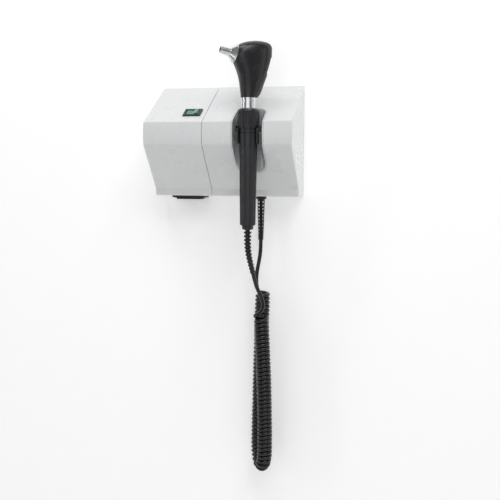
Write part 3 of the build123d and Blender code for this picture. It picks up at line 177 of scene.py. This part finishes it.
# ---------------------------------------------------------------- shared effects
def effect(name, inputs, outputs):
    """A new node group. inputs: (name, kind, value) rows; outputs: (name, kind) rows."""
    tree = bpy.data.node_groups.new(name, "ShaderNodeTree")
    for label, kind, value in inputs:
        socket = tree.interface.new_socket(label, in_out="INPUT", socket_type=f"NodeSocket{kind}")
        socket.default_value = value
    for label, kind in outputs:
        tree.interface.new_socket(label, in_out="OUTPUT", socket_type=f"NodeSocket{kind}")
    start = tree.nodes.new("NodeGroupInput")
    end = tree.nodes.new("NodeGroupOutput")
    place = tree.nodes.new("ShaderNodeTexCoord").outputs["Object"]
    return tree, start.outputs, end.inputs, place


def link(tree, source, target):
    tree.links.new(source, target)


def noise(tree, place, scale, detail=3.0, rough=0.55):
    """A noise texture; scale is a number or an output to read it from."""
    node = tree.nodes.new("ShaderNodeTexNoise")
    link(tree, place, node.inputs["Vector"])
    node.inputs["Detail"].default_value = detail
    node.inputs["Roughness"].default_value = rough
    if isinstance(scale, (int, float)):
        node.inputs["Scale"].default_value = scale
    else:
        link(tree, scale, node.inputs["Scale"])
    return node.outputs["Fac"]


def ranged(tree, value, low, high, to_low=0.0, to_high=1.0):
    """value between low and high, mapped to the new limits; a limit may be an output."""
    node = tree.nodes.new("ShaderNodeMapRange")
    node.interpolation_type = "SMOOTHSTEP"
    link(tree, value, node.inputs["Value"])
    limits = {"From Min": low, "From Max": high, "To Min": to_low, "To Max": to_high}
    for label, limit in limits.items():
        if isinstance(limit, (int, float)):
            node.inputs[label].default_value = limit
        else:
            link(tree, limit, node.inputs[label])
    return node.outputs["Result"]


def maths(tree, how, a, b):
    node = tree.nodes.new("ShaderNodeMath")
    node.operation = how
    for socket, value in zip(node.inputs, (a, b)):
        if isinstance(value, (int, float)):
            socket.default_value = value
        else:
            link(tree, value, socket)
    return node.outputs[0]


def mixed(tree, share, a, b, how="MIX"):
    node = tree.nodes.new("ShaderNodeMix")
    node.data_type = "RGBA"
    node.blend_type = how
    for socket, value in ((node.inputs[0], share), (node.inputs[6], a), (node.inputs[7], b)):
        if isinstance(value, (int, float)):
            socket.default_value = value
        elif isinstance(value, tuple):
            socket.default_value = (*value, 1)
        else:
            link(tree, value, socket)
    return node.outputs[2]


def make_drift():
    """Slow change of tone over a moulding."""
    tree, given, out, place = effect(
        "tone_drift",
        [("Color", "Color", (0.5, 0.5, 0.5, 1)), ("Shade", "Color", (0.8, 0.8, 0.8, 1)),
         ("Scale", "Float", 12.0), ("Amount", "Float", 0.4)],
        [("Color", "Color")])
    broad = ranged(tree, noise(tree, place, given["Scale"], 2.0), 0.35, 0.7)
    share = maths(tree, "MULTIPLY", broad, given["Amount"])
    link(tree, mixed(tree, share, given["Color"], given["Shade"]), out["Color"])
    return tree


def make_grain():
    """The fine moulded or cast surface, as a height."""
    tree, given, out, place = effect(
        "fine_grain", [("Scale", "Float", 2500.0), ("Broad", "Float", 0.3)], [("Height", "Float")])
    fine = noise(tree, place, given["Scale"], 2.0)
    wide = noise(tree, place, maths(tree, "MULTIPLY", given["Scale"], 0.06), 1.0)
    slow = maths(tree, "MULTIPLY", wide, given["Broad"])
    link(tree, maths(tree, "ADD", fine, slow), out["Height"])
    return tree


def make_handling():
    """Uneven gloss from handling and wiping."""
    tree, given, out, place = effect(
        "handled_gloss",
        [("Scale", "Float", 60.0), ("Low", "Float", 0.3), ("High", "Float", 0.45)],
        [("Roughness", "Float"), ("Mask", "Float")])
    spots = ranged(tree, noise(tree, place, given["Scale"], 4.0, 0.6), 0.38, 0.66)
    link(tree, ranged(tree, spots, 0.0, 1.0, given["Low"], given["High"]), out["Roughness"])
    link(tree, spots, out["Mask"])
    return tree


def make_dust():
    """A little dust on what faces up."""
    tree, given, out, place = effect(
        "settled_dust",
        [("Color", "Color", (0.1, 0.1, 0.1, 1)), ("Amount", "Float", 0.1)],
        [("Color", "Color")])
    facing = tree.nodes.new("ShaderNodeSeparateXYZ")
    link(tree, tree.nodes.new("ShaderNodeNewGeometry").outputs["Normal"], facing.inputs[0])
    up = ranged(tree, facing.outputs["Z"], 0.45, 0.95)
    patches = ranged(tree, noise(tree, place, 420.0, 4.0, 0.7), 0.42, 0.75)
    share = maths(tree, "MULTIPLY", maths(tree, "MULTIPLY", up, patches), given["Amount"])
    link(tree, mixed(tree, share, given["Color"], (0.55, 0.53, 0.50)), out["Color"])
    return tree


def make_turning():
    """Fine rings left by a lathe, as a height, about an upright axis."""
    tree, given, out, place = effect(
        "turned_rings",
        [("Scale", "Float", 2200.0), ("Tilt", "Vector", (0.0, 0.0, 0.0))],
        [("Height", "Float")])
    turn = tree.nodes.new("ShaderNodeVectorRotate")
    turn.rotation_type = "EULER_XYZ"
    link(tree, place, turn.inputs["Vector"])
    link(tree, given["Tilt"], turn.inputs["Rotation"])
    squeeze = tree.nodes.new("ShaderNodeVectorMath")
    squeeze.operation = "MULTIPLY"
    link(tree, turn.outputs[0], squeeze.inputs[0])
    squeeze.inputs[1].default_value = (0.02, 0.02, 1.0)
    link(tree, noise(tree, squeeze.outputs[0], given["Scale"], 3.0, 0.7), out["Height"])
    return tree


DRIFT = make_drift()
GRAIN = make_grain()
HANDLING = make_handling()
DUST = make_dust()
TURNING = make_turning()


# ---------------------------------------------------------------- finishes
def placed(tree, group, **values):
    node = tree.nodes.new("ShaderNodeGroup")
    node.node_tree = group
    for label, value in values.items():
        socket = node.inputs[label]
        socket.default_value = (*value, 1) if socket.type == "RGBA" else value
    return node


def finish(name, tone, shade, gloss, grain=2500.0, depth=0.00001, broad=0.3, drift=14.0,
           amount=0.5, handling=60.0, dust=0.0, turned=None, **shader_values):
    """A material from the shared effects.

    tone and shade are its two colours, gloss its roughness limits.
    """
    material = bpy.data.materials.new(name)
    material.use_nodes = True
    tree = material.node_tree
    shader = tree.nodes["Principled BSDF"]
    drifted = placed(tree, DRIFT, Color=tone, Shade=shade, Scale=drift, Amount=amount)
    colour = drifted.outputs["Color"]
    if dust:
        layer = placed(tree, DUST, Amount=dust)
        link(tree, colour, layer.inputs["Color"])
        colour = layer.outputs["Color"]
    link(tree, colour, shader.inputs["Base Color"])
    wiped = placed(tree, HANDLING, Scale=handling, Low=gloss[0], High=gloss[1])
    link(tree, wiped.outputs["Roughness"], shader.inputs["Roughness"])
    if turned is None:
        height = placed(tree, GRAIN, Scale=grain, Broad=broad).outputs["Height"]
    else:
        height = placed(tree, TURNING, Scale=grain, Tilt=turned).outputs["Height"]
    bump = tree.nodes.new("ShaderNodeBump")
    bump.inputs["Strength"].default_value = 1.0
    bump.inputs["Distance"].default_value = depth
    link(tree, height, bump.inputs["Height"])
    link(tree, bump.outputs["Normal"], shader.inputs["Normal"])
    for label, value in shader_values.items():
        socket = label.replace("_", " ").title().replace("Ior", "IOR")
        shader.inputs[socket].default_value = value
    return material


def fade_low(material, low, high, tone):
    """Brings a material's colour to tone below the height low; above high it keeps its own."""
    tree = material.node_tree
    colour = tree.nodes["Principled BSDF"].inputs["Base Color"]
    own = colour.links[0].from_socket
    height = tree.nodes.new("ShaderNodeSeparateXYZ")
    link(tree, tree.nodes.new("ShaderNodeTexCoord").outputs["Object"], height.inputs[0])
    link(tree, mixed(tree, ranged(tree, height.outputs["Z"], low, high), tone, own), colour)


def make_finishes():
    white = finish("white_moulding", (0.80, 0.81, 0.815), (0.78, 0.79, 0.795), (0.27, 0.30),
                   grain=1800.0, depth=0.000001, drift=5.0, amount=0.3, handling=20.0,
                   specular_ior_level=0.5)
    liner = finish("satin_silver_paint", (0.68, 0.69, 0.70), (0.62, 0.63, 0.64), (0.26, 0.34),
                   grain=5200.0, depth=0.000006, metallic=0.25)
    fade_low(liner, -0.054, -0.030, (0.79, 0.80, 0.805))
    black = finish("black_moulding", (0.014, 0.014, 0.015), (0.022, 0.022, 0.023), (0.34, 0.48),
                   grain=3200.0, depth=0.000010, dust=0.10)
    grip = finish("black_grip", (0.015, 0.016, 0.018), (0.022, 0.023, 0.026), (0.32, 0.44),
                  grain=3600.0, depth=0.000010, dust=0.03)
    head = finish("black_head_moulding", (0.014, 0.014, 0.016), (0.020, 0.020, 0.023), (0.24, 0.34),
                  grain=3800.0, depth=0.000005, dust=0.015)
    rubber = finish("cord_sheath", (0.005, 0.005, 0.0055), (0.009, 0.009, 0.0095), (0.22, 0.32),
                    grain=2600.0, depth=0.000008, drift=40.0, dust=0.02)
    chrome = finish("bright_chrome", (0.78, 0.79, 0.80), (0.72, 0.73, 0.74), (0.16, 0.26),
                    grain=2400.0, depth=0.0000012, turned=(0.0, 0.0, 0.0), metallic=1.0)
    satin_chrome = finish("satin_chrome", (0.74, 0.75, 0.76), (0.64, 0.65, 0.66), (0.16, 0.26),
                          grain=3000.0, depth=0.000003, metallic=1.0)
    steel = finish("zinc_steel", (0.56, 0.57, 0.58), (0.46, 0.46, 0.46), (0.30, 0.48),
                   grain=1500.0, depth=0.000006, metallic=1.0)
    brass = finish("turned_brass", (0.72, 0.52, 0.22), (0.60, 0.40, 0.16), (0.22, 0.38),
                   grain=3000.0, depth=0.000003, turned=(0.0, 0.0, 0.0), metallic=1.0)
    copper = finish("enamelled_wire", (0.52, 0.20, 0.07), (0.40, 0.14, 0.05), (0.22, 0.34),
                    grain=2600.0, depth=0.00008, turned=(0.0, 0.0, 0.0), coat_weight=0.6)
    core = finish("core_laminations", (0.10, 0.10, 0.105), (0.18, 0.15, 0.13), (0.42, 0.60),
                  grain=1900.0, depth=0.00006, turned=(radians(90), 0.0, 0.0), metallic=0.7)
    nylon = finish("natural_nylon", (0.68, 0.64, 0.54), (0.60, 0.56, 0.46), (0.38, 0.52),
                   depth=0.000012)
    insulator = finish("white_insulator", (0.74, 0.72, 0.67), (0.66, 0.64, 0.58), (0.32, 0.46),
                       depth=0.000010)
    board = finish("circuit_board_green", (0.02, 0.15, 0.06), (0.05, 0.24, 0.10), (0.20, 0.32),
                   drift=180.0, amount=0.8, grain=900.0, depth=0.00003, coat_weight=0.4)
    block_green = finish("terminal_green", (0.03, 0.30, 0.10), (0.02, 0.22, 0.07), (0.34, 0.46))
    part = finish("component_body", (0.018, 0.018, 0.020), (0.030, 0.030, 0.032), (0.28, 0.42),
                  depth=0.000010)
    alu = finish("extruded_aluminium", (0.62, 0.63, 0.64), (0.54, 0.55, 0.56), (0.26, 0.40),
                 grain=2600.0, depth=0.000005, metallic=1.0)
    brown = finish("brown_wire", (0.20, 0.08, 0.03), (0.14, 0.05, 0.02), (0.32, 0.44), drift=60.0)
    red = finish("red_wire", (0.42, 0.03, 0.02), (0.32, 0.02, 0.015), (0.30, 0.42), drift=60.0)
    rocker = finish("green_rocker", (0.015, 0.20, 0.11), (0.02, 0.30, 0.18), (0.14, 0.24),
                    grain=2200.0, depth=0.000006, drift=120.0, coat_weight=0.5)
    glass = finish("lens_glass", (0.93, 0.96, 0.95), (0.90, 0.94, 0.93), (0.02, 0.05),
                   depth=0.0000002, transmission_weight=1.0, ior=1.5)
    bulb = finish("lamp_glass", (0.95, 0.93, 0.86), (0.90, 0.87, 0.78), (0.03, 0.08),
                  depth=0.0000002, transmission_weight=0.9, ior=1.47)
    fibre = finish("fibre_bundle", (0.80, 0.80, 0.74), (0.66, 0.66, 0.60), (0.12, 0.26),
                   grain=4200.0, depth=0.00002)
    return {
        "wall_plate": steel, "power_cover": white, "holder_cover": white, "cover_screws": steel,
        "cradle_insert": liner, "cradle_fork": black, "cradle_bracket": steel, "switch_bezel": black,
        "rocker": rocker, "rocker_pin": steel, "switch_terminals": brass, "mains_inlet": black,
        "inlet_pins": brass, "inlet_screws": steel, "transformer_core": core,
        "transformer_bobbin": nylon, "transformer_winding": copper, "circuit_board": board,
        "standoffs": steel, "inside_screws": steel, "filter_capacitor": part, "heat_sink": alu,
        "voltage_regulator": part, "bridge_rectifier": part, "terminal_block": block_green,
        "wire_grommet": black, "power_wires": brown, "supply_wires": red, "wall_boot": rubber,
        "gland_nut": nylon, "output_lead": rubber, "lead_clip": nylon, "handle_grip": grip,
        "handle_collar": grip, "bayonet_neck": chrome, "ring_clip": steel,
        "rheostat_track": insulator, "rheostat_ring": grip, "ring_wiper": brass,
        "contact_insulator": insulator, "contact_pin": brass, "contact_spring": steel,
        "spring_seat": insulator, "end_cap": grip, "handle_boot": rubber, "handle_lead": rubber,
        "lead_clamp": brass, "head_shell": head, "head_socket": chrome, "nose_piece": satin_chrome,
        "pivot_pin": steel, "lens_frame": head, "lens_glass": glass, "lamp_base": brass,
        "lamp_bulb": bulb, "lamp_holder": insulator, "light_guide": fibre,
        "curly_cord": rubber,
    }


# ---------------------------------------------------------------- stage, light and camera
STAGE_HALF = 2.4
FLOOR_Z = -0.85
FLOOR_BACK = -0.1
FLOOR_FRONT = -2.6
WALL_Y = 0.0008                 # just behind the station's back
WALL_TOP = 1.6
WALL_GLOW = 0.30
SURROUND = 0.20

# name, place, aim, size, power
LIGHTS = [
    ("key", (0.75, -1.25, 1.45), (0.0, 0.0, -0.05), (1.1, 1.1), 13.0),
    ("front_panel", (0.15, -1.60, 0.20), (0.0, 0.0, -0.05), (1.3, 1.0), 3.6),
    ("overhead", (-0.16, -0.50, 1.15), (0.0, -0.06, 0.0), (0.62, 0.36), 3.6),
    ("left_strip", (-1.25, -0.75, 0.25), (0.0, -0.05, 0.0), (0.22, 1.3), 2.2),
    ("right_strip", (1.35, -0.45, 0.0), (0.0, -0.05, -0.1), (0.3, 1.4), 1.2),
]


def place_camera():
    data = bpy.data.cameras.new("camera")
    data.lens, data.sensor_width = CAMERA_LENS, 36.0
    data.clip_start, data.clip_end = 0.01, 20.0
    camera = bpy.data.objects.new("camera", data)
    bpy.context.scene.collection.objects.link(camera)
    turn = Matrix.Rotation(CAMERA_YAW, 4, "Z") @ Matrix.Rotation(pi / 2 + CAMERA_PITCH, 4, "X")
    roll = Matrix.Rotation(CAMERA_ROLL, 4, "Z")
    camera.matrix_world = Matrix.Translation(CAMERA_PLACE) @ turn @ roll
    bpy.context.scene.camera = camera


def place_light(name, place, aim, size, power):
    data = bpy.data.lights.new(name, "AREA")
    data.shape = "RECTANGLE"
    data.size, data.size_y = size
    data.energy = power
    light = bpy.data.objects.new(name, data)
    bpy.context.scene.collection.objects.link(light)
    light.location = place
    light.rotation_mode = "QUATERNION"
    light.rotation_quaternion = (Vector(aim) - Vector(place)).to_track_quat("-Z", "Y")


def backdrop(name, rows, glow):
    """A pale sheet through (y, z) rows, wide in x, with a little light of its own.

    It is clear from behind, so that it hides nothing.
    """
    mesh = bpy.data.meshes.new(name)
    vertices = [(x, y, z) for y, z in rows for x in (-STAGE_HALF, STAGE_HALF)]
    faces = [(2 * n, 2 * n + 2, 2 * n + 3, 2 * n + 1) for n in range(len(rows) - 1)]
    mesh.from_pydata(vertices, [], faces)
    for face in mesh.polygons:
        face.use_smooth = True
    sheet = bpy.data.objects.new(name, mesh)
    bpy.context.scene.collection.objects.link(sheet)
    paint = bpy.data.materials.new(name + "_paint")
    paint.use_nodes = True
    shader = paint.node_tree.nodes["Principled BSDF"]
    shader.inputs["Base Color"].default_value = (0.90, 0.90, 0.90, 1)
    shader.inputs["Roughness"].default_value = 0.9
    shader.inputs["Specular IOR Level"].default_value = 0.1
    shader.inputs["Emission Color"].default_value = (1, 1, 1, 1)
    shader.inputs["Emission Strength"].default_value = glow
    tree = paint.node_tree
    seen = tree.nodes.new("ShaderNodeMixShader")
    link(tree, tree.nodes.new("ShaderNodeNewGeometry").outputs["Backfacing"], seen.inputs[0])
    link(tree, shader.outputs[0], seen.inputs[1])
    link(tree, tree.nodes.new("ShaderNodeBsdfTransparent").outputs[0], seen.inputs[2])
    link(tree, seen.outputs[0], tree.nodes["Material Output"].inputs["Surface"])
    mesh.materials.append(paint)


def build_stage():
    """A pale wall behind the station, a pale floor well below it, and an even surround."""
    wall_rows = [
        (WALL_Y, WALL_TOP),
        (WALL_Y, FLOOR_Z + 0.1),
        (-0.03, FLOOR_Z + 0.03),
        (FLOOR_BACK, FLOOR_Z),
    ]
    backdrop("wall", wall_rows, WALL_GLOW)
    backdrop("floor", [(FLOOR_BACK, FLOOR_Z), (FLOOR_FRONT, FLOOR_Z)], 0.0)
    world = bpy.data.worlds.new("surround")
    world.use_nodes = True
    world.node_tree.nodes["Background"].inputs["Color"].default_value = (1, 1, 1, 1)
    world.node_tree.nodes["Background"].inputs["Strength"].default_value = SURROUND
    bpy.context.scene.world = world
    bpy.context.scene.view_settings.view_transform = "Standard"


def put_finish(piece, material):
    piece.data.materials.clear()
    piece.data.materials.append(material)


build_stage()
place_camera()
for light in LIGHTS:
    place_light(*light)
cord = make_cord()
finishes = make_finishes()
pieces = dict(NODES)
pieces["curly_cord"] = cord
for piece_name, piece in pieces.items():
    if piece_name in finishes:
        put_finish(piece, finishes[piece_name])
